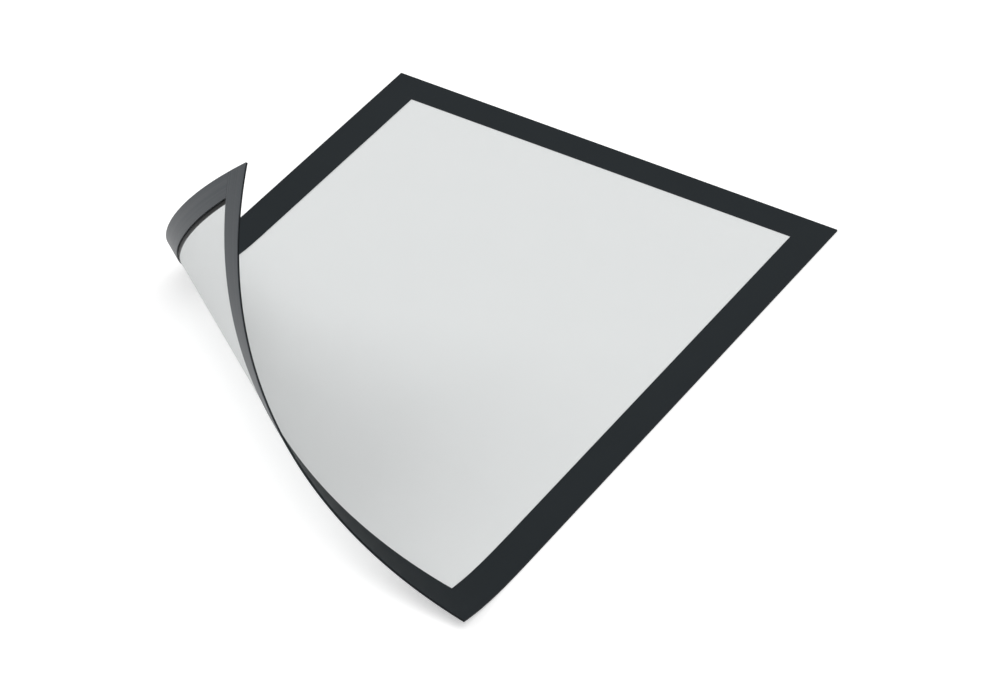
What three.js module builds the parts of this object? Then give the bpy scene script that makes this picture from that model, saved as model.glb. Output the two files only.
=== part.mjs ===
// A magnetic document pocket for one A4 sheet. It lies on its magnetic back with
// its bottom left corner curled up and over the front.
//
// The pocket is a stack of thin layers. From the front to the back they are a die
// cut frame, a clear window film, the sheet of paper, a back film with a long slot
// for the paper, and four magnetic strips. All layers are drawn flat first and then
// follow one bend. The bend has straight fold lines that fan out from a far point,
// as a stiff sheet has when one corner is lifted, so no layer is stretched.
//
// Millimetres. +X runs across the page, +Y up the page, +Z out of its front.

import * as THREE from 'three';
import { toCreasedNormals } from 'three/addons/utils/BufferGeometryUtils.js';

// Sheet of paper
const paperWidth = 210;
const paperHeight = 297;

// Room beside the paper, at the slot and at each end
const paperSideRoom = 0.3;
const paperEndRoom = 0.1;

// Strips, slot and the glued margin to the right of the paper
const sideStripWidth = 12.4;
const endStripWidth = 12.9;
const slotWidth = 2.4;
const rightMargin = 10.9;
const stripJoint = 0.1;

// How far the front frame laps over the paper beyond the slot
const frameLap = 1;

// Thickness of each layer, and the play between two layers
const magnetThickness = 0.35;
const filmThickness = 0.12;
const paperThickness = 0.1;
const frameThickness = 0.15;
const layerPlay = 0.02;

// The bend starts on a sloping line across the page, and its fold lines meet in a
// point on that line, a fan radius away from where it crosses the page's centre
const bendStartBelowTop = 192;
const bendSlope = THREE.MathUtils.degToRad( 29.6 );
const fanRadius = 534;

// Radius of the bend where it is tightest and at the corner's tip. It tightens over
// the first length, is even up to the second and opens from there to the tip.
const tightRadius = 59;
const tipRadius = 126;
const tightenLength = 44;
const evenLength = 89;

// Width of one flat facet of the bend
const facetWidth = 3;

// Sizes that follow
const slotLeft = sideStripWidth;
const slotRight = slotLeft + slotWidth;
const paperLeft = slotRight + paperSideRoom;
const paperBottom = endStripWidth + paperEndRoom;
const pageWidth = paperLeft + paperWidth + rightMargin;
const pageHeight = paperBottom + paperHeight + paperBottom;
const frameBorder = slotRight + frameLap;
const stripTop = pageHeight - endStripWidth;

// Every layer's low and high face, measured from the magnetic back
const magnetLayer = layerAbove( null, magnetThickness );
const backFilmLayer = layerAbove( magnetLayer, filmThickness );
const paperLayer = layerAbove( backFilmLayer, paperThickness );
const windowLayer = layerAbove( paperLayer, filmThickness );
const frameLayer = layerAbove( windowLayer, frameThickness );
const neutralHeight = frameLayer.high / 2;

/** The layer that lies on another one, or on the ground. */
function layerAbove( layer, thickness ) {

	const low = layer === null ? 0 : layer.high + layerPlay;
	return { low, high: low + thickness };

}

// The bend

const bendMiddle = new THREE.Vector2( pageWidth / 2, pageHeight - bendStartBelowTop );
const bendDirection = new THREE.Vector2( Math.cos( bendSlope ), - Math.sin( bendSlope ) );
const fanPoint = bendMiddle.clone().addScaledVector( bendDirection, - fanRadius );
const bendLength = bendDistance( new THREE.Vector2( 0, 0 ) );
const foldCount = Math.ceil( bendLength / facetWidth );

/** How far a point of the flat page lies beyond the bend's start, along the bend. */
function bendDistance( point ) {

	const arm = point.clone().sub( fanPoint );
	return fanRadius * Math.atan2( arm.cross( bendDirection ), arm.dot( bendDirection ) );

}

/** The bend's curvature at a distance from its start. */
function curvatureAt( distance ) {

	const tightening = THREE.MathUtils.smoothstep( distance, 0, tightenLength );
	const opening = THREE.MathUtils.smoothstep( distance, evenLength, bendLength );
	return THREE.MathUtils.lerp( tightening / tightRadius, 1 / tipRadius, opening );

}

/** Direction of a fold line on the flat page, by its number. */
function foldDirection( number ) {

	const turn = - bendSlope - number * facetWidth / fanRadius;
	return new THREE.Vector2( Math.cos( turn ), Math.sin( turn ) );

}

/** The placing of every facet: each one is the last one, folded once more. */
function facetPlacings() {

	const toFan = new THREE.Matrix4().makeTranslation( fanPoint.x, fanPoint.y, 0 );
	const fromFan = toFan.clone().invert();
	const placings = [ new THREE.Matrix4() ];
	for ( let number = 1; number <= foldCount; number ++ ) {

		const direction = foldDirection( number );
		const axis = new THREE.Vector3( - direction.x, - direction.y, 0 );
		const foldAngle = curvatureAt( number * facetWidth ) * facetWidth;
		const fold = new THREE.Matrix4().makeRotationAxis( axis, foldAngle );
		const placing = placings[ number - 1 ].clone();
		placing.multiply( toFan ).multiply( fold ).multiply( fromFan );
		placings.push( placing );

	}

	return placings;

}

const placings = facetPlacings();
const facetNormals = placings.map( ( placing ) => new THREE.Vector3().setFromMatrixColumn( placing, 2 ) );

/** Where a point of a layer goes: its place on the flat page, and its height there. */
function bentPoint( point, height ) {

	const position = bendDistance( point ) / facetWidth;
	const nearest = Math.round( position );
	const isOnFold = Math.abs( position - nearest ) < 1e-6 && nearest > 0;
	const facet = THREE.MathUtils.clamp( isOnFold ? nearest : Math.floor( position ), 0, foldCount );
	const normal = facetNormals[ facet ].clone();
	if ( isOnFold && nearest <= foldCount ) {

		const before = facetNormals[ facet - 1 ];
		const spread = 1 + normal.dot( before );
		normal.add( before ).divideScalar( spread );

	}

	const flat = new THREE.Vector3( point.x, point.y, neutralHeight );
	return flat.applyMatrix4( placings[ facet ] ).addScaledVector( normal, height - neutralHeight );

}

// Flat outlines, each one a list of convex pieces with their corners anticlockwise

/** A rectangle between two opposite corners. */
function rectangle( left, bottom, right, top ) {

	return [
		new THREE.Vector2( left, bottom ),
		new THREE.Vector2( right, bottom ),
		new THREE.Vector2( right, top ),
		new THREE.Vector2( left, top )
	];

}

/** A rectangle with a rectangular opening, in four pieces mitred at the corners. */
function pierced( outer, opening ) {

	return outer.map( ( corner, index ) => {

		const next = ( index + 1 ) % outer.length;
		return [ corner, outer[ next ], opening[ next ], opening[ index ] ];

	} );

}

/** The part of a convex piece on one side of a fold line. */
function clipped( piece, number, side ) {

	const direction = foldDirection( number );
	const distances = piece.map( ( point ) => side * point.clone().sub( fanPoint ).cross( direction ) );
	const kept = [];
	piece.forEach( ( point, index ) => {

		const next = ( index + 1 ) % piece.length;
		const here = distances[ index ];
		const there = distances[ next ];
		if ( here >= 0 ) kept.push( point );
		if ( here * there < 0 ) kept.push( point.clone().lerp( piece[ next ], here / ( here - there ) ) );

	} );
	return kept;

}

/** Cuts convex pieces at every fold line, so that each cell lies in one facet. */
function cellsOf( pieces ) {

	const cells = [];
	for ( const piece of pieces ) {

		let rest = piece;
		for ( let number = 1; number <= foldCount && rest.length > 2; number ++ ) {

			const cell = clipped( rest, number, - 1 );
			if ( cell.length > 2 ) cells.push( cell );
			rest = clipped( rest, number, 1 );

		}

		if ( rest.length > 2 ) cells.push( rest );

	}

	return cells;

}

// Solid layers

/** A closed layer over an outline, bent with the page. */
function bentLayer( pieces, layer ) {

	const corners = [];
	const cornerNumbers = new Map();
	const numberOf = ( point ) => {

		const key = `${ point.x.toFixed( 5 ) } ${ point.y.toFixed( 5 ) }`;
		if ( ! cornerNumbers.has( key ) ) {

			cornerNumbers.set( key, corners.length );
			corners.push( point );

		}

		return cornerNumbers.get( key );

	};

	const cells = cellsOf( pieces ).map( ( cell ) => cell.map( numberOf ) );
	const edges = new Set();
	const edgesOf = ( cell ) => cell.map( ( corner, index ) => [ corner, cell[ ( index + 1 ) % cell.length ] ] );
	for ( const cell of cells ) edgesOf( cell ).forEach( ( [ from, to ] ) => edges.add( `${ from } ${ to }` ) );

	const indices = [];
	const high = corners.length;
	for ( const cell of cells ) {

		for ( let index = 2; index < cell.length; index ++ ) {

			const [ first, second, third ] = [ cell[ 0 ], cell[ index - 1 ], cell[ index ] ];
			indices.push( high + first, high + second, high + third );
			indices.push( first, third, second );

		}

		for ( const [ from, to ] of edgesOf( cell ) ) {

			if ( edges.has( `${ to } ${ from }` ) ) continue;
			indices.push( from, to, high + to );
			indices.push( from, high + to, high + from );

		}

	}

	const lowPoints = corners.map( ( point ) => bentPoint( point, layer.low ) );
	const highPoints = corners.map( ( point ) => bentPoint( point, layer.high ) );
	const geometry = new THREE.BufferGeometry().setFromPoints( [ ...lowPoints, ...highPoints ] );
	geometry.setIndex( indices );
	return toCreasedNormals( geometry, THREE.MathUtils.degToRad( 12 ) );

}

/** A named piece of the pocket. */
function piece( name, pieces, layer, material ) {

	const mesh = new THREE.Mesh( bentLayer( pieces, layer ), material );
	mesh.name = name;
	return mesh;

}

// Materials

const charcoalPlastic = { color: 0x2f3336, roughness: 0.55, metalness: 0 };
const clearFilm = { color: 0xe6e8e8, roughness: 0.35, metalness: 0 };
const whitePaper = { color: 0xf2f2f0, roughness: 0.9, metalness: 0 };
const magneticRubber = { color: 0x55585b, roughness: 0.75, metalness: 0 };

/** A fresh material for one piece. */
function finish( values ) {

	return new THREE.MeshStandardMaterial( values );

}

// Assembly

const pageOutline = rectangle( 0, 0, pageWidth, pageHeight );
const windowOutline = rectangle( frameBorder, frameBorder, pageWidth - frameBorder, pageHeight - frameBorder );
const slotOutline = rectangle( slotLeft, endStripWidth, slotRight, stripTop );
const paperOutline = rectangle( paperLeft, paperBottom, paperLeft + paperWidth, paperBottom + paperHeight );
const bottomOutline = rectangle( 0, 0, pageWidth, endStripWidth );
const topOutline = rectangle( 0, stripTop, pageWidth, pageHeight );

/** The outline of a side strip, which butts between the two end strips. */
function sideOutline( left ) {

	return rectangle( left, endStripWidth + stripJoint, left + sideStripWidth, stripTop - stripJoint );

}

const sleeve = new THREE.Group();
sleeve.add( piece( 'front_frame', pierced( pageOutline, windowOutline ), frameLayer, finish( charcoalPlastic ) ) );
sleeve.add( piece( 'window_film', [ pageOutline ], windowLayer, finish( clearFilm ) ) );
sleeve.add( piece( 'document_sheet', [ paperOutline ], paperLayer, finish( whitePaper ) ) );
sleeve.add( piece( 'back_film', pierced( pageOutline, slotOutline ), backFilmLayer, finish( clearFilm ) ) );

const strips = new THREE.Group();
strips.add( piece( 'top_strip', [ topOutline ], magnetLayer, finish( magneticRubber ) ) );
strips.add( piece( 'bottom_strip', [ bottomOutline ], magnetLayer, finish( magneticRubber ) ) );
strips.add( piece( 'left_strip', [ sideOutline( 0 ) ], magnetLayer, finish( magneticRubber ) ) );
const rightStripLeft = pageWidth - sideStripWidth;
strips.add( piece( 'right_strip', [ sideOutline( rightStripLeft ) ], magnetLayer, finish( magneticRubber ) ) );

const pocket = new THREE.Group();
pocket.add( sleeve, strips );

// The origin is under the middle of the pocket's box, on the surface it lies on
const box = new THREE.Box3().setFromObject( pocket, true );
const centre = box.getCenter( new THREE.Vector3() );
pocket.position.set( - centre.x, - centre.y, - box.min.z );

export default pocket;
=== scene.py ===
"""Looks of a magnetic document pocket for one A4 sheet, with one corner curled up.

Every layer of the pocket is a thin closed shell over a flat outline. One bend, made
of straight lines that fan out from a far point, carries all layers at once, so that
paper, films, frame and magnetic strips stay parallel and unstretched. Metres.
"""

import cmath
import logging
import math
from dataclasses import dataclass, field
from enum import Enum
from typing import Iterable, Union

import bpy
from mathutils import Matrix, Vector

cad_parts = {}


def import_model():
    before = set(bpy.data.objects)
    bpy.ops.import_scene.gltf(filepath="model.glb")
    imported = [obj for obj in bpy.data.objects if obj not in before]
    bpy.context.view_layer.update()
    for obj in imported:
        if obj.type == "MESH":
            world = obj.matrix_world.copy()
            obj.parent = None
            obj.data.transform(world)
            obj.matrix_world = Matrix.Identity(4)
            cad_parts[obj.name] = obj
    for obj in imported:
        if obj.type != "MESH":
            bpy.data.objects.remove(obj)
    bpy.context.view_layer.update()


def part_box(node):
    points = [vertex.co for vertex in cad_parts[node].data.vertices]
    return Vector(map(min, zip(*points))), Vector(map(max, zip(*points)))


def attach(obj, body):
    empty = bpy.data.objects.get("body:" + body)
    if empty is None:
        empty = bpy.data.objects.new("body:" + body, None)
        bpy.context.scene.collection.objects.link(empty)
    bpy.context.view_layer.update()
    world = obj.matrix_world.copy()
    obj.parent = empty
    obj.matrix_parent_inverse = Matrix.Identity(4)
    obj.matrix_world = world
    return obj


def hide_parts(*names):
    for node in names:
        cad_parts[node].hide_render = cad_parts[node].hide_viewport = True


LOG = logging.getLogger("document_pocket")
ROOT_BODY = "root"
PAGE_PLACE = "page_place"
MM = 0.001
KEYS_PER_METRE = 1e8
FOLD_TOLERANCE = 1e-4
SMOOTH_ANGLE = math.radians(30)

Colour = tuple[float, float, float]
Scale = tuple[float, float, float]
Point = complex
Piece = list[complex]


def cross(first: Point, second: Point) -> float:
    """The cross product of two flat vectors."""
    return (first.conjugate() * second).imag


def linear(red: int, green: int, blue: int) -> Colour:
    """The linear colour of three screen values from 0 to 255."""

    def channel(value: int) -> float:
        """One channel's linear value."""
        share = value / 255
        return share / 12.92 if share <= 0.04045 else ((share + 0.055) / 1.055) ** 2.4

    return channel(red), channel(green), channel(blue)


# Shader expressions


class Value:
    """A socket in a shader expression. Operators on it add Math nodes."""

    def __init__(self, graph: "Graph", socket: bpy.types.NodeSocket) -> None:
        """Wraps one output socket of a graph's node."""
        self.graph = graph
        self.socket = socket

    def __add__(self, other: "Number") -> "Value":
        """Sum."""
        return self.graph.math("ADD", self, other)

    def __sub__(self, other: "Number") -> "Value":
        """Difference."""
        return self.graph.math("SUBTRACT", self, other)

    def __rsub__(self, other: "Number") -> "Value":
        """Difference from a number."""
        return self.graph.math("SUBTRACT", other, self)

    def __mul__(self, other: "Number") -> "Value":
        """Product."""
        return self.graph.math("MULTIPLY", self, other)

    __radd__ = __add__
    __rmul__ = __mul__

    def least(self, other: "Number") -> "Value":
        """The smaller of two values."""
        return self.graph.math("MINIMUM", self, other)

    def step(self, start: float, end: float) -> "Value":
        """A smooth step from 0 at start to 1 at end.

        Args:
            start: Value at which the step begins.
            end: Value at which it is complete.

        Returns:
            The eased value between 0 and 1.
        """
        inputs = {"Value": self, "From Min": start, "From Max": end}
        return self.graph.node("ShaderNodeMapRange", {"interpolation_type": "SMOOTHSTEP"}, inputs, "Result")


Number = Union[Value, float]


class Graph:
    """The node graph of one material, around its Principled shader."""

    def __init__(self, name: str) -> None:
        """Starts a material with an empty Principled graph."""
        self.material = bpy.data.materials.new(name)
        self.material.use_nodes = True
        self.tree = self.material.node_tree
        self.shader = self.tree.nodes["Principled BSDF"]
        self.place = self.node("ShaderNodeAttribute", {"attribute_name": PAGE_PLACE}, {}, "Vector")
        parts = self.add("ShaderNodeSeparateXYZ", {}, {"Vector": self.place})
        self.x, self.y = (Value(self, parts.outputs[axis]) for axis in "XY")

    def feed(self, socket: bpy.types.NodeSocket, source: object) -> None:
        """Links or sets one input socket.

        Args:
            socket: The input socket.
            source: A Value to link, or a number, colour or vector to set.
        """
        if isinstance(source, Value):
            self.tree.links.new(source.socket, socket)
        elif isinstance(source, tuple) and len(source) == 3 and socket.type == "RGBA":
            socket.default_value = (*source, 1.0)
        else:
            socket.default_value = source

    def add(self, kind: str, settings: dict[str, object], inputs: dict[str | int, object]) -> bpy.types.Node:
        """Adds a node.

        Args:
            kind: The node's type.
            settings: Its properties, set before the sockets.
            inputs: What each input socket gets, by name or place.

        Returns:
            The new node.
        """
        node = self.tree.nodes.new(kind)
        for key, setting in settings.items():
            setattr(node, key, setting)
        for key, source in inputs.items():
            self.feed(node.inputs[key], source)
        return node

    def node(
        self, kind: str, settings: dict[str, object], inputs: dict[str | int, object], output: str | int
    ) -> Value:
        """Adds a node and gives one of its outputs as a value."""
        return Value(self, self.add(kind, settings, inputs).outputs[output])

    def math(self, operation: str, first: Number, second: Number) -> Value:
        """Adds a Math node on two values."""
        return self.node("ShaderNodeMath", {"operation": operation}, {0: first, 1: second}, "Value")

    def mix(self, share: Number, first: object, second: object) -> Value:
        """Mixes two colours by a share of the second."""
        node = self.add("ShaderNodeMix", {"data_type": "RGBA", "clamp_factor": True}, {0: share})
        first_socket, second_socket = (socket for socket in node.inputs if socket.type == "RGBA")
        self.feed(first_socket, first)
        self.feed(second_socket, second)
        return Value(self, next(socket for socket in node.outputs if socket.type == "RGBA"))

    def stretched(self, scale: Scale) -> Value:
        """The place on the page, scaled along each axis, in pattern units."""
        inputs = {0: self.place, 1: scale}
        return self.node("ShaderNodeVectorMath", {"operation": "MULTIPLY"}, inputs, "Vector")

    def noise(self, scale: Scale, detail: float = 2.0, roughness: float = 0.55) -> Value:
        """Soft noise that follows the page.

        Args:
            scale: Cells of noise in a metre, along each axis of the page.
            detail: Finer octaves laid over the first one.
            roughness: How strong each finer octave is.

        Returns:
            The noise, about 0.5 on average.
        """
        inputs = {"Vector": self.stretched(scale), "Scale": 1.0, "Detail": detail, "Roughness": roughness}
        return self.node("ShaderNodeTexNoise", {}, inputs, "Fac")

    def bump(self, heights: Value, depth: float, under: Value | None = None) -> Value:
        """Bumps the surface.

        Args:
            heights: The relief, from 0 to 1.
            depth: The relief's real depth in metres.
            under: A normal that this one adds to.

        Returns:
            The bumped normal.
        """
        inputs: dict[str | int, object] = {"Height": heights, "Distance": depth, "Strength": 1.0}
        if under is not None:
            inputs["Normal"] = under
        return self.node("ShaderNodeBump", {}, inputs, "Normal")

    def finish(self, inputs: dict[str | int, object]) -> bpy.types.Material:
        """Feeds the Principled shader and gives the finished material."""
        for key, source in inputs.items():
            self.feed(self.shader.inputs[key], source)
        return self.material


# The page and its bend


@dataclass(frozen=True)
class PageSizes:
    """Sizes of the flat pocket, in metres."""

    paper_width: float = 210 * MM
    paper_height: float = 297 * MM
    paper_side_room: float = 0.3 * MM
    paper_end_room: float = 0.1 * MM
    side_strip: float = 12.4 * MM
    end_strip: float = 12.9 * MM
    slot: float = 2.4 * MM
    right_margin: float = 10.9 * MM
    strip_joint: float = 0.1 * MM
    frame_lap: float = 1.0 * MM
    magnet: float = 0.35 * MM
    film: float = 0.12 * MM
    paper: float = 0.1 * MM
    frame: float = 0.15 * MM
    play: float = 0.02 * MM

    @property
    def slot_right(self) -> float:
        """The slot's edge away from the left strip."""
        return self.side_strip + self.slot

    @property
    def paper_left(self) -> float:
        """The paper's left edge."""
        return self.slot_right + self.paper_side_room

    @property
    def paper_bottom(self) -> float:
        """The paper's bottom edge."""
        return self.end_strip + self.paper_end_room

    @property
    def width(self) -> float:
        """The pocket's flat width."""
        return self.paper_left + self.paper_width + self.right_margin

    @property
    def height(self) -> float:
        """The pocket's flat height."""
        return self.paper_height + 2 * self.paper_bottom

    @property
    def border(self) -> float:
        """Width of the front frame's border."""
        return self.slot_right + self.frame_lap

    @property
    def strip_top(self) -> float:
        """The top strip's lower edge."""
        return self.height - self.end_strip


@dataclass(frozen=True)
class Layer:
    """The low and high face of one layer above the magnetic back."""

    low: float
    high: float

    def above(self, thickness: float, play: float) -> "Layer":
        """The layer that lies on this one."""
        return Layer(self.high + play, self.high + play + thickness)


@dataclass
class Bend:
    """The fanned bend that every layer follows."""

    sizes: PageSizes
    neutral: float
    origin: Vector
    start_below_top: float = 192 * MM
    slope: float = math.radians(29.6)
    fan_radius: float = 534 * MM
    tight_radius: float = 59 * MM
    tip_radius: float = 126 * MM
    tighten_length: float = 44 * MM
    even_length: float = 89 * MM
    facet: float = 1.0 * MM
    flat_facets: int = 12
    cross_cut: float = 14 * MM
    placings: list[Matrix] = field(default_factory=list)
    normals: list[Vector] = field(default_factory=list)

    def __post_init__(self) -> None:
        """Works out where the fold lines meet, and places every facet."""
        middle = complex(self.sizes.width / 2, self.sizes.height - self.start_below_top)
        self.along = self.direction(0)
        self.fan_point = middle - self.along * self.fan_radius
        self.length = self.distance(0j)
        self.folds = math.ceil(self.length / self.facet)
        self.place_facets()

    @staticmethod
    def ease(value: float, start: float, end: float) -> float:
        """A smooth step of a value between a start and an end."""
        share = min(max((value - start) / (end - start), 0.0), 1.0)
        return share * share * (3 - 2 * share)

    def distance(self, point: Point) -> float:
        """How far a point of the flat page lies beyond the bend's start."""
        return -self.fan_radius * cmath.phase((point - self.fan_point) / self.along)

    def curvature(self, distance: float) -> float:
        """The bend's curvature at a distance from its start."""
        tight = self.ease(distance, 0.0, self.tighten_length) / self.tight_radius
        opening = self.ease(distance, self.even_length, self.length)
        return tight + (1 / self.tip_radius - tight) * opening

    def direction(self, number: int) -> Point:
        """Direction of a fold line on the flat page, by its number."""
        return cmath.rect(1.0, -self.slope - number * self.facet / self.fan_radius)

    def cut_numbers(self) -> list[int]:
        """Numbers of the lines that cut every layer: each fold, and wider apart where the page is flat."""
        corner = complex(self.sizes.width, self.sizes.height)
        first = math.floor(self.distance(corner) / self.facet / self.flat_facets)
        flat = [number * self.flat_facets for number in range(first, 0)]
        return [*flat, *range(self.folds + 2)]

    def place_facets(self) -> None:
        """Places each facet as the last one, folded once more."""
        to_fan = Matrix.Translation((self.fan_point.real, self.fan_point.imag, 0.0))
        from_fan = to_fan.inverted()
        placing = Matrix.Translation(self.origin)
        self.placings = [placing.copy()]
        for number in range(1, self.folds + 1):
            line = self.direction(number)
            angle = self.curvature(number * self.facet) * self.facet
            fold = Matrix.Rotation(angle, 4, Vector((-line.real, -line.imag, 0.0)))
            placing = placing @ to_fan @ fold @ from_fan
            self.placings.append(placing.copy())
        self.normals = [placed.to_3x3().col[2].copy() for placed in self.placings]

    def point(self, flat: Point, height: float) -> Vector:
        """Where a point of a layer goes.

        Args:
            flat: Its place on the flat page.
            height: Its height above the magnetic back there.

        Returns:
            Its place on the bent page.
        """
        position = self.distance(flat) / self.facet
        nearest = round(position)
        on_fold = abs(position - nearest) < FOLD_TOLERANCE and 0 < nearest <= self.folds
        facet = min(max(nearest if on_fold else math.floor(position), 0), self.folds)
        normal = self.normals[facet].copy()
        if on_fold:
            before = self.normals[facet - 1]
            normal = (normal + before) / (1 + normal.dot(before))
        base = self.placings[facet] @ Vector((flat.real, flat.imag, self.neutral))
        return base + normal * (height - self.neutral)


# Flat outlines, as convex pieces with their corners anticlockwise


def rectangle(left: float, bottom: float, right: float, top: float) -> Piece:
    """A rectangle between two opposite corners."""
    return [complex(left, bottom), complex(right, bottom), complex(right, top), complex(left, top)]


def pierced(outer: Piece, opening: Piece) -> list[Piece]:
    """A rectangle with a rectangular opening, in four mitred pieces."""
    pieces = []
    for index, corner in enumerate(outer):
        following = (index + 1) % len(outer)
        pieces.append([corner, outer[following], opening[following], opening[index]])
    return pieces


@dataclass
class LayerShell:
    """Builds the closed shell of one layer on the bent page."""

    bend: Bend
    layer: Layer

    @staticmethod
    def clip(piece: Piece, start: Point, line: Point) -> Piece:
        """The part of a convex piece to the right of a line from a start."""
        distances = [cross(point - start, line) for point in piece]
        kept = []
        for index, point in enumerate(piece):
            following = (index + 1) % len(piece)
            here, there = distances[index], distances[following]
            if here >= 0:
                kept.append(point)
            if here * there < 0:
                kept.append(point + (piece[following] - point) * here / (here - there))
        return kept

    def across(self, piece: Piece, before: Point, after: Point) -> list[Piece]:
        """Cuts the piece between two fold lines into short cells.

        Args:
            piece: A convex piece that lies between the two lines.
            before: Direction of the first line.
            after: Direction of the next one.

        Returns:
            The cells, whose corners on a line lie at even distances from the fan point.
        """
        bend, cells = self.bend, []
        number = math.floor(min(abs(point - bend.fan_point) for point in piece) / bend.cross_cut)
        rest = piece
        while len(rest) > 2:
            number += 1
            reach = number * bend.cross_cut
            start = bend.fan_point + before * reach
            chord = (after - before) * reach
            cell = self.clip(rest, start, chord)
            if len(cell) > 2:
                cells.append(cell)
            rest = self.clip(rest, start, -chord)
        return cells

    def cells(self, pieces: Iterable[Piece]) -> list[Piece]:
        """Cuts convex pieces at every line of the bend's fan, and across it."""
        bend, cells = self.bend, []
        lines = [bend.direction(number) for number in bend.cut_numbers()]
        for piece in pieces:
            rest = piece
            for before, after in zip(lines, lines[1:]):
                if len(rest) < 3:
                    break
                strip = self.clip(rest, bend.fan_point, -after)
                if len(strip) > 2:
                    cells += self.across(strip, before, after)
                rest = self.clip(rest, bend.fan_point, after)
        return cells

    def build(self, name: str, pieces: Iterable[Piece]) -> bpy.types.Object:
        """Makes the shell's object.

        Args:
            name: The object's name.
            pieces: Its flat outline, as convex pieces.

        Returns:
            The object, with each point's place on the flat page as an attribute.
        """
        corners: list[Point] = []
        numbers: dict[tuple[int, int], int] = {}

        def number_of(point: Point) -> int:
            """The number of a corner, the same for cells that share it."""
            key = (round(point.real * KEYS_PER_METRE), round(point.imag * KEYS_PER_METRE))
            if key not in numbers:
                numbers[key] = len(corners)
                corners.append(point)
            return numbers[key]

        cells = []
        for cell in self.cells(pieces):
            ring = [number_of(point) for point in cell]
            ring = [corner for index, corner in enumerate(ring) if corner != ring[index - 1]]
            if len(ring) > 2:
                cells.append(ring)
        edges = {(cell[index - 1], cell[index]) for cell in cells for index in range(len(cell))}
        high = len(corners)
        faces = [[high + corner for corner in cell] for cell in cells]
        faces += [list(reversed(cell)) for cell in cells]
        faces += [[a, b, high + b, high + a] for a, b in edges if (b, a) not in edges]
        places = [(point, height) for height in (self.layer.low, self.layer.high) for point in corners]
        mesh = bpy.data.meshes.new(name)
        mesh.from_pydata([self.bend.point(*place) for place in places], [], faces)
        flat = mesh.attributes.new(PAGE_PLACE, "FLOAT_VECTOR", "POINT")
        for index, (point, height) in enumerate(places):
            flat.data[index].vector = (point.real, point.imag, height)
        mesh.validate()
        mesh.shade_smooth()
        mesh.set_sharp_from_angle(angle=SMOOTH_ANGLE)
        made = bpy.data.objects.new(name, mesh)
        bpy.context.scene.collection.objects.link(made)
        return made


# Finishes


class Grain(Enum):
    """Which way a strip's drawn lines run on the page."""

    ACROSS = "across"
    UP = "up"


@dataclass(frozen=True)
class CharcoalPlastic:
    """Matt charcoal sheet with a fine grain."""

    base: Colour = linear(34, 39, 42)
    pale: Colour = linear(40, 45, 48)
    cloud_share: float = 0.6
    grain_share: float = 0.4
    pale_offset: float = -0.05
    smoothest: float = 0.47
    grain_roughness: float = 0.16
    gloss: float = 0.1
    grain_scale: Scale = (3200.0, 3200.0, 3200.0)
    cloud_scale: Scale = (26.0, 26.0, 26.0)
    grain_depth: float = 0.012 * MM

    def make(self, name: str) -> bpy.types.Material:
        """Builds the material."""
        graph = Graph(name)
        grain = graph.noise(self.grain_scale)
        cloud = graph.noise(self.cloud_scale, detail=3.0)
        paleness = cloud * self.cloud_share + grain * self.grain_share + self.pale_offset
        return graph.finish(
            {
                "Base Color": graph.mix(paleness, self.base, self.pale),
                "Roughness": grain * self.grain_roughness + self.smoothest,
                "Specular IOR Level": self.gloss,
                "Normal": graph.bump(grain, self.grain_depth),
            }
        )


@dataclass(frozen=True)
class AntiGlareFilm:
    """Clear satin film with a dark margin where it is bonded; the margin is printed near-black so that, seen
    through the back's slot, it is painted shade standing in for the slot's deep shadow.
    """

    sizes: PageSizes
    clear: Colour = linear(222, 226, 226)
    # Near-black margin colour: dark print that, seen through the back's slot, is painted shade for the
    # slot's deep shadow.
    margin: Colour = linear(9, 10, 11)
    side_margin: float = PageSizes.side_strip
    end_margin: float = PageSizes.end_strip
    print_blur: float = 0.02 * MM
    alpha: float = 0.08
    smoothest: float = 0.38
    haze_roughness: float = 0.14
    gloss: float = 0.3
    haze_scale: Scale = (2600.0, 2600.0, 2600.0)
    haze_depth: float = 0.006 * MM
    wave_scale: Scale = (9.0, 6.0, 1.0)
    wave_depth: float = 0.25 * MM

    def make(self, name: str) -> bpy.types.Material:
        """Builds the material."""
        graph = Graph(name)
        across = (graph.x - self.side_margin).least(self.sizes.width - self.side_margin - graph.x)
        up = (graph.y - self.end_margin).least(self.sizes.height - self.end_margin - graph.y)
        inside = across.least(up).step(-self.print_blur, self.print_blur)
        haze = graph.noise(self.haze_scale)
        wave = graph.bump(graph.noise(self.wave_scale, detail=1.0), self.wave_depth)
        return graph.finish(
            {
                # Painted shade: where the margin shows through the back's slot, its near-black stands in for
                # the slot's shadow.
                "Base Color": graph.mix(inside, self.margin, self.clear),
                "Alpha": 1.0 - inside * (1 - self.alpha),
                "Roughness": haze * self.haze_roughness + self.smoothest,
                "Specular IOR Level": self.gloss,
                "Normal": graph.bump(haze, self.haze_depth, wave),
            }
        )


@dataclass(frozen=True)
class PlainPaper:
    """Plain white paper with faint fibres."""

    white: Colour = linear(242, 243, 243)
    fibre: Colour = linear(237, 239, 239)
    fibre_share: float = 0.5
    cloud_share: float = 0.5
    smoothest: float = 0.82
    fibre_roughness: float = 0.1
    gloss: float = 0.2
    fibre_scale: Scale = (900.0, 2400.0, 1.0)
    cloud_scale: Scale = (35.0, 35.0, 1.0)
    fibre_depth: float = 0.01 * MM

    def make(self, name: str) -> bpy.types.Material:
        """Builds the material."""
        graph = Graph(name)
        fibres = graph.noise(self.fibre_scale, detail=4.0)
        cloud = graph.noise(self.cloud_scale, detail=3.0)
        tint = fibres * self.fibre_share + cloud * self.cloud_share
        return graph.finish(
            {
                "Base Color": graph.mix(tint, self.white, self.fibre),
                "Roughness": fibres * self.fibre_roughness + self.smoothest,
                "Specular IOR Level": self.gloss,
                "Normal": graph.bump(fibres, self.fibre_depth),
            }
        )


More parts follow.
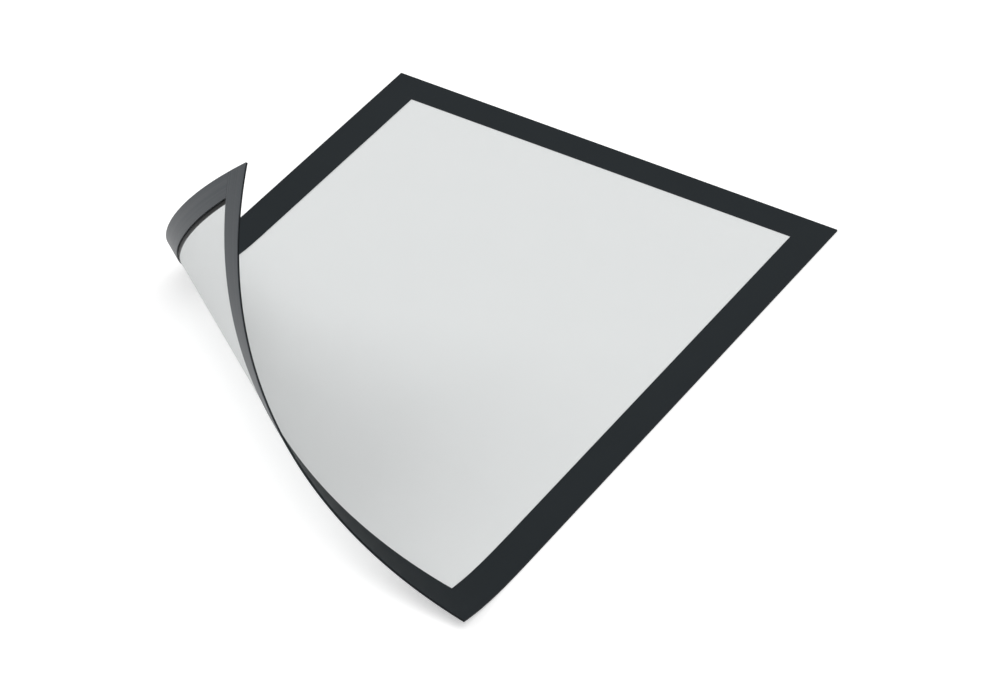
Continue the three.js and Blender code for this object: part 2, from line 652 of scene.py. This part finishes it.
@dataclass(frozen=True)
class MagneticRubber:
    """Dark magnetic rubber with fine lines drawn along the strip."""

    grain: Grain
    base: Colour = linear(38, 46, 53)
    line: Colour = linear(74, 77, 80)
    line_share: float = 0.7
    broad_line_share: float = 1.1
    speck_share: float = 0.3
    pale_offset: float = -0.55
    smoothest: float = 0.3
    line_roughness: float = 0.12
    speck_roughness: float = 0.08
    gloss: float = 0.18
    along_per_metre: float = 9.0
    lines_per_metre: float = 1500.0
    broad_line_width: float = 4.0
    line_depth: float = 0.02 * MM
    speck_scale: Scale = (2500.0, 2500.0, 2500.0)
    speck_depth: float = 0.008 * MM

    @property
    def line_scale(self) -> Scale:
        """Cells of noise in a metre, few along the strip and many across it."""
        along, across = self.along_per_metre, self.lines_per_metre
        return (along, across, 1.0) if self.grain is Grain.ACROSS else (across, along, 1.0)

    def make(self, name: str) -> bpy.types.Material:
        """Builds the material."""
        graph = Graph(name)
        lines = graph.noise(self.line_scale, detail=3.0)
        broad = graph.noise(tuple(cells / self.broad_line_width for cells in self.line_scale))
        speck = graph.noise(self.speck_scale)
        drawn = graph.bump(lines, self.line_depth)
        paleness = lines * self.line_share + broad * self.broad_line_share + speck * self.speck_share
        roughness = lines * self.line_roughness + speck * self.speck_roughness
        return graph.finish(
            {
                "Base Color": graph.mix(paleness + self.pale_offset, self.base, self.line),
                "Roughness": roughness + self.smoothest,
                "Specular IOR Level": self.gloss,
                "Normal": graph.bump(speck, self.speck_depth, drawn),
            }
        )


# Sub-assemblies


@dataclass
class Stack:
    """The pocket's layers, from the magnetic back to the front frame."""

    sizes: PageSizes

    def __post_init__(self) -> None:
        """Lays the layers on each other."""
        sizes = self.sizes
        self.magnet = Layer(0.0, sizes.magnet)
        self.back_film = self.magnet.above(sizes.film, sizes.play)
        self.paper = self.back_film.above(sizes.paper, sizes.play)
        self.window = self.paper.above(sizes.film, sizes.play)
        self.frame = self.window.above(sizes.frame, sizes.play)
        self.neutral = self.frame.high / 2


@dataclass
class Assembly:
    """What the sub-assemblies share: sizes, layers, the bend and dressing."""

    sizes: PageSizes
    stack: Stack
    bend: Bend
    edge_share: float = 0.2
    edge_segments: int = 2
    edge_angle: float = math.radians(40)

    def dress(
        self,
        name: str,
        node: str,
        slot: str,
        layer: Layer,
        pieces: Iterable[Piece],
        material: bpy.types.Material,
    ) -> bpy.types.Object:
        """Builds one piece in place of its node and gives it its finish.

        Args:
            name: The piece's name.
            node: The node that it stands for.
            slot: The record's material slot, not used.
            layer: The layer that it is.
            pieces: Its flat outline.
            material: Its finish.

        Returns:
            The dressed piece.
        """
        made = LayerShell(self.bend, layer).build(name, pieces)
        made.data.materials.append(material)
        rounding = made.modifiers.new("cut_edge", "BEVEL")
        rounding.width = (layer.high - layer.low) * self.edge_share
        rounding.segments = self.edge_segments
        rounding.limit_method = "ANGLE"
        rounding.angle_limit = self.edge_angle
        rounding.harden_normals = True
        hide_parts(node)
        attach(made, ROOT_BODY)
        LOG.info("%s: %d faces", name, len(made.data.polygons))
        return made


@dataclass
class Sleeve(Assembly):
    """Front frame, window film, paper and slotted back film."""

    @property
    def page(self) -> Piece:
        """The whole page's outline."""
        return rectangle(0.0, 0.0, self.sizes.width, self.sizes.height)

    def build(self) -> None:
        """Builds the four sheets of the sleeve."""
        self.frame()
        self.window()
        self.paper()
        self.back()

    def frame(self) -> None:
        """The charcoal border on the front."""
        sizes, border = self.sizes, self.sizes.border
        opening = rectangle(border, border, sizes.width - border, sizes.height - border)
        finish = CharcoalPlastic().make("charcoal_plastic")
        outline = pierced(self.page, opening)
        self.dress("border_frame", "front_frame", "frame_plastic", self.stack.frame, outline, finish)

    def window(self) -> None:
        """The clear film behind the frame."""
        border = self.sizes.border
        # Its near-black margin, seen through the back's slot, is painted shade for the slot's deep shadow.
        film = AntiGlareFilm(self.sizes, side_margin=border, end_margin=border, gloss=0.1)
        finish = film.make("window_film_satin")
        self.dress("window_sheet", "window_film", "clear_film", self.stack.window, [self.page], finish)

    def paper(self) -> None:
        """The sheet that the pocket holds."""
        sizes, left, bottom = self.sizes, self.sizes.paper_left, self.sizes.paper_bottom
        outline = rectangle(left, bottom, left + sizes.paper_width, bottom + sizes.paper_height)
        finish = PlainPaper().make("plain_paper")
        self.dress("paper_sheet", "document_sheet", "white_paper", self.stack.paper, [outline], finish)

    def back(self) -> None:
        """The film on the back, painted greyer than the window film as shade on the curled flap's back, with
        its slot beside the left strip.
        """
        sizes = self.sizes
        slot = rectangle(sizes.side_strip, sizes.end_strip, sizes.slot_right, sizes.strip_top)
        # Painted shade: the greyer clear colour and higher alpha darken the flap's back, where less light
        # falls on it.
        finish = AntiGlareFilm(sizes, clear=linear(214, 218, 218), alpha=0.1).make("back_film_painted_shade")
        outline = pierced(self.page, slot)
        self.dress("back_sheet", "back_film", "clear_film", self.stack.back_film, outline, finish)


@dataclass
class MagneticStrips(Assembly):
    """The four magnetic strips on the back."""

    def side(self, left: float) -> Piece:
        """A side strip's outline, which butts between the two end strips."""
        sizes = self.sizes
        bottom = sizes.end_strip + sizes.strip_joint
        return rectangle(left, bottom, left + sizes.side_strip, sizes.strip_top - sizes.strip_joint)

    def build(self) -> None:
        """Builds the end strips and the side strips."""
        sizes = self.sizes
        finishes = {grain: MagneticRubber(grain).make(f"magnetic_rubber_{grain.value}") for grain in Grain}
        strips = (
            ("top", rectangle(0.0, sizes.strip_top, sizes.width, sizes.height), Grain.ACROSS),
            ("bottom", rectangle(0.0, 0.0, sizes.width, sizes.end_strip), Grain.ACROSS),
            ("left", self.side(0.0), Grain.UP),
            ("right", self.side(sizes.width - sizes.side_strip), Grain.UP),
        )
        for place, outline, grain in strips:
            name, node = f"{place}_magnet", f"{place}_strip"
            self.dress(name, node, "magnet_rubber", self.stack.magnet, [outline], finishes[grain])


# Studio


@dataclass(frozen=True)
class Viewpoint:
    """The camera, aimed as the photograph was taken."""

    target: tuple[float, float, float] = (0.0311, 0.0083, 0.0)
    distance: float = 2.0046
    azimuth: float = math.radians(31.32)
    elevation: float = math.radians(38.24)
    roll: float = math.radians(0.42)
    lens: float = 163.5
    sensor: float = 36.0

    def build(self) -> None:
        """Makes the scene's camera."""
        flat, rise = math.cos(self.elevation), math.sin(self.elevation)
        across, along = math.cos(self.azimuth), math.sin(self.azimuth)
        back = Vector((along * flat, -across * flat, rise))
        level = Vector((across, along, 0.0))
        right = Matrix.Rotation(self.roll, 3, back) @ level
        data = bpy.data.cameras.new("viewpoint")
        data.lens = self.lens
        data.sensor_width = self.sensor
        camera = bpy.data.objects.new("viewpoint", data)
        axes = Matrix((right, back.cross(right), back)).transposed()
        camera.matrix_world = Matrix.Translation(Vector(self.target) + back * self.distance) @ axes.to_4x4()
        bpy.context.scene.collection.objects.link(camera)
        bpy.context.scene.camera = camera


@dataclass(frozen=True)
class SoftLamp:
    """A wide, far lamp."""

    name: str
    energy: float
    source: tuple[float, float, float]
    softness: float = math.radians(46)

    def build(self) -> None:
        """Makes the lamp."""
        data = bpy.data.lights.new(self.name, "SUN")
        data.energy = self.energy
        data.angle = self.softness
        lamp = bpy.data.objects.new(self.name, data)
        lamp.rotation_mode = "QUATERNION"
        lamp.rotation_quaternion = Vector(self.source).to_track_quat("Z", "Y")
        bpy.context.scene.collection.objects.link(lamp)


@dataclass(frozen=True)
class Studio:
    """Plain pale floor and soft light."""

    floor_size: float = 30.0
    floor_colour: Colour = (0.86, 0.86, 0.86)
    floor_roughness: float = 0.9
    floor_glow: float = 0.4
    sky: float = 0.43
    lamps: tuple[SoftLamp, ...] = (
        SoftLamp("right_key", energy=1.19, source=(0.433, -0.25, 0.866)),
        SoftLamp("left_fill", energy=0.99, source=(-0.807, -0.142, 0.574)),
    )

    def build(self) -> None:
        """Makes the world, the lamps and the floor."""
        scene = bpy.context.scene
        scene.view_settings.view_transform = "Standard"
        self.light_world(scene)
        for lamp in self.lamps:
            lamp.build()
        self.lay_floor(scene)

    def light_world(self, scene: bpy.types.Scene) -> None:
        """Lights the world evenly, and shows it white to the camera."""
        world = bpy.data.worlds.new("studio")
        world.use_nodes = True
        scene.world = world
        tree = world.node_tree
        background = tree.nodes["Background"]
        background.inputs["Color"].default_value = (1.0, 1.0, 1.0, 1.0)
        path = tree.nodes.new("ShaderNodeLightPath")
        seen = tree.nodes.new("ShaderNodeMapRange")
        seen.inputs["To Min"].default_value = self.sky
        seen.inputs["To Max"].default_value = 1.0
        tree.links.new(path.outputs["Is Camera Ray"], seen.inputs["Value"])
        tree.links.new(seen.outputs["Result"], background.inputs["Strength"])

    def lay_floor(self, scene: bpy.types.Scene) -> None:
        """Lays the floor, which shows white and keeps the shadow."""
        half = self.floor_size / 2
        mesh = bpy.data.meshes.new("floor")
        corners = [(-half, -half, 0.0), (half, -half, 0.0), (half, half, 0.0), (-half, half, 0.0)]
        mesh.from_pydata(corners, [], [(0, 1, 2, 3)])
        floor = bpy.data.objects.new("floor", mesh)
        scene.collection.objects.link(floor)
        material = bpy.data.materials.new("floor_white")
        material.use_nodes = True
        tree = material.node_tree
        shader = tree.nodes["Principled BSDF"]
        shader.inputs["Base Color"].default_value = (*self.floor_colour, 1.0)
        shader.inputs["Roughness"].default_value = self.floor_roughness
        shader.inputs["Specular IOR Level"].default_value = 0.0
        shader.inputs["Emission Color"].default_value = (1.0, 1.0, 1.0, 1.0)
        path = tree.nodes.new("ShaderNodeLightPath")
        glow = tree.nodes.new("ShaderNodeMath")
        glow.operation = "MULTIPLY"
        glow.inputs[1].default_value = self.floor_glow
        seen = tree.nodes.new("ShaderNodeMath")
        seen.operation = "MAXIMUM"
        tree.links.new(path.outputs["Is Camera Ray"], seen.inputs[0])
        tree.links.new(path.outputs["Is Glossy Ray"], seen.inputs[1])
        tree.links.new(seen.outputs["Value"], glow.inputs[0])
        tree.links.new(glow.outputs["Value"], shader.inputs["Emission Strength"])
        mesh.materials.append(material)


def main() -> None:
    """Builds the pocket around its frame."""
    logging.basicConfig(level=logging.INFO, format="%(name)s %(message)s")
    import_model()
    sizes = PageSizes()
    stack = Stack(sizes)
    low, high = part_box("top_strip")
    origin = Vector((low.x, high.y - sizes.height, 0.0))
    bend = Bend(sizes, stack.neutral, origin)
    Viewpoint().build()
    Studio().build()
    Sleeve(sizes, stack, bend).build()
    MagneticStrips(sizes, stack, bend).build()


if __name__ == "__main__":
    main()
